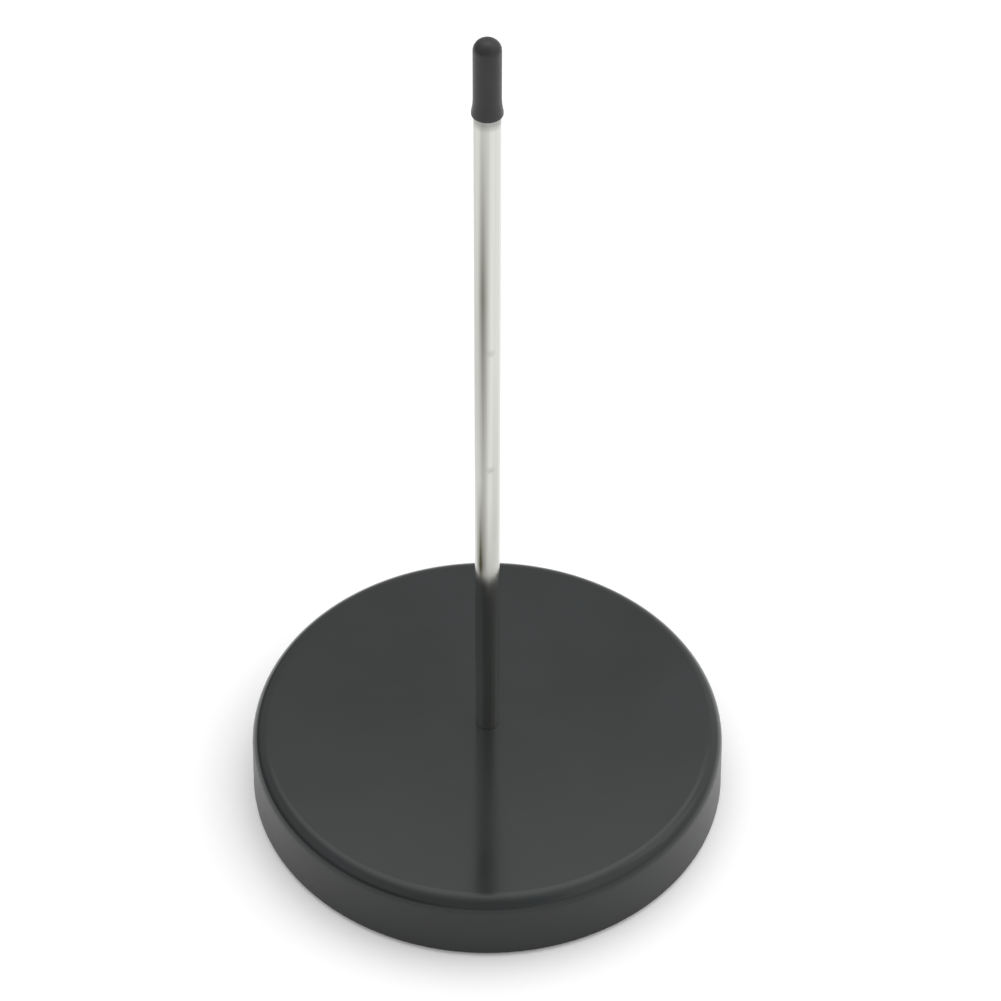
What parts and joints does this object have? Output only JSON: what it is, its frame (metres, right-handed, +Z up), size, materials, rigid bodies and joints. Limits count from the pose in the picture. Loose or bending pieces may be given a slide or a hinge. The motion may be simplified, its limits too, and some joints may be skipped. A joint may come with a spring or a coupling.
{
  "type": "bill spike",
  "caption": "Weighted round desk base with an upright pointed steel spike that paper slips are pushed onto, and a soft pull-off cap that guards the point.",
  "frame": {"origin": "centre of the foot pad's underside, on the surface that the object stands on", "axes": "+Z up along the spike; X and Y lie in the desk's plane, and the object is round about Z"},
  "size_m": [0.08, 0.08, 0.1499],
  "materials": {
    "gloss_black_cover": "moulded, smooth and glossy",
    "ballast_iron": "as cast, rough",
    "polished_steel": "drawn and polished",
    "zinc_hardware": "zinc plated",
    "spring_steel": "dark, oiled",
    "pad_rubber": "fine sponge skin, matte",
    "soft_cap": "dipped soft vinyl, satin"
  },
  "bodies": {
    "stand": {"base_cover": "gloss_black_cover", "ballast_disc": "ballast_iron", "spike": "polished_steel", "flat_washer": "zinc_hardware", "spring_washer": "spring_steel", "hex_nut": "zinc_hardware", "foot_pad": "pad_rubber"},
    "cap": {"tip_cap": "soft_cap"}
  },
  "joints": [
    {"name": "cap_pull", "type": "slide", "parent": "stand", "child": "cap", "axis": [0, 0, 1], "range_m": [0, 0.025]}
  ]
}
